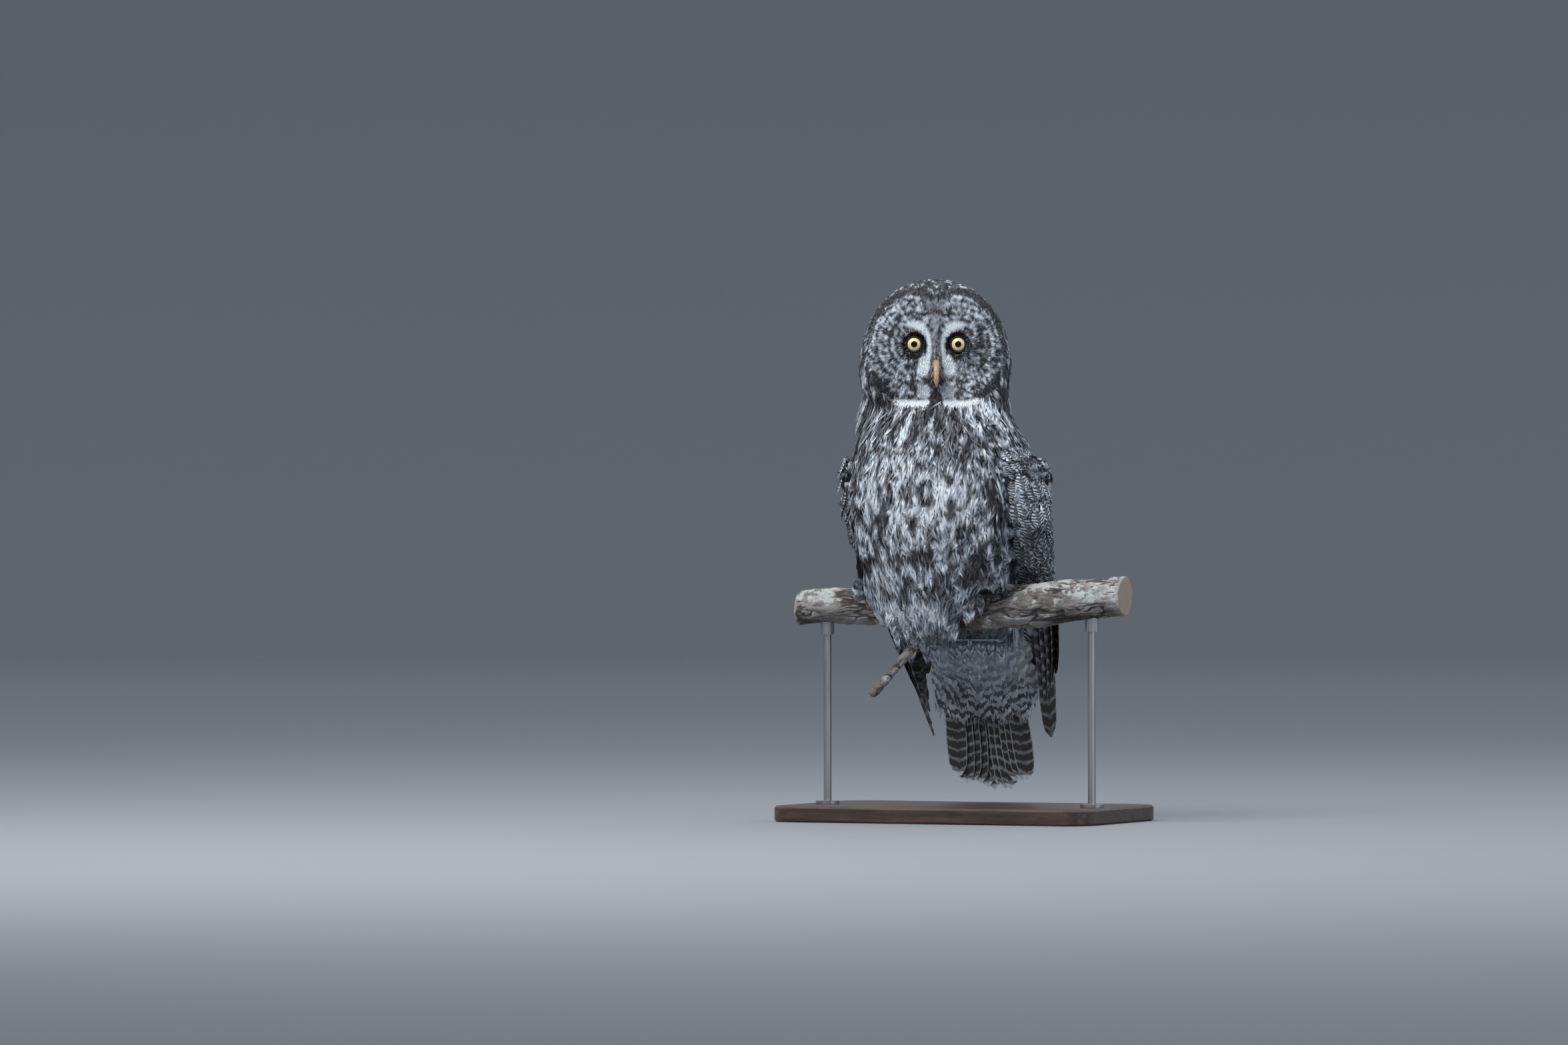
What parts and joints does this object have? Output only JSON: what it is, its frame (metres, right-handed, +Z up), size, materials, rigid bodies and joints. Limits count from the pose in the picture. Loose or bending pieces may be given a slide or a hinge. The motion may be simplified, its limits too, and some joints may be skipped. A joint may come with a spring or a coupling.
{
  "type": "great grey owl on a perch",
  "caption": "Life-size great grey owl gripping a cut branch, its head turned, on a plain display stand with a flat base and rods.",
  "frame": {"origin": "underside of the stand's base, straight below the branch between the owl's feet", "axes": "+Z up, -Y out of the owl's breast, +X towards the owl's left along the branch"},
  "size_m": [0.444, 0.2764, 0.6855],
  "materials": {
    "body_feathers": "matte",
    "face_feathers": "matte",
    "flight_feathers": "matte",
    "leg_feathers": "matte",
    "eye": "gloss",
    "eyelid": "satin",
    "bill": "satin",
    "claw": "satin",
    "bark": "rough",
    "stand_wood": "satin",
    "stand_metal": "satin"
  },
  "bodies": {
    "root": {"torso": "body_feathers", "neck": "body_feathers", "head": "face_feathers", "eye_right": "eye", "eyelid_right": "eyelid", "wing_right": "flight_feathers", "leg_right": "leg_feathers", "claw_right_front_inner": "claw", "claw_right_front_middle": "claw", "claw_right_back_outer": "claw", "claw_right_back_inner": "claw", "eye_left": "eye", "eyelid_left": "eyelid", "wing_left": "flight_feathers", "leg_left": "leg_feathers", "claw_left_front_inner": "claw", "claw_left_front_middle": "claw", "claw_left_back_outer": "claw", "claw_left_back_inner": "claw", "bill_upper": "bill", "bill_lower": "bill", "tail": "flight_feathers", "perch_branch": "bark", "stand_base": "stand_wood", "stand_rod_right": "stand_metal", "stand_rod_left": "stand_metal"}
  },
  "joints": []
}
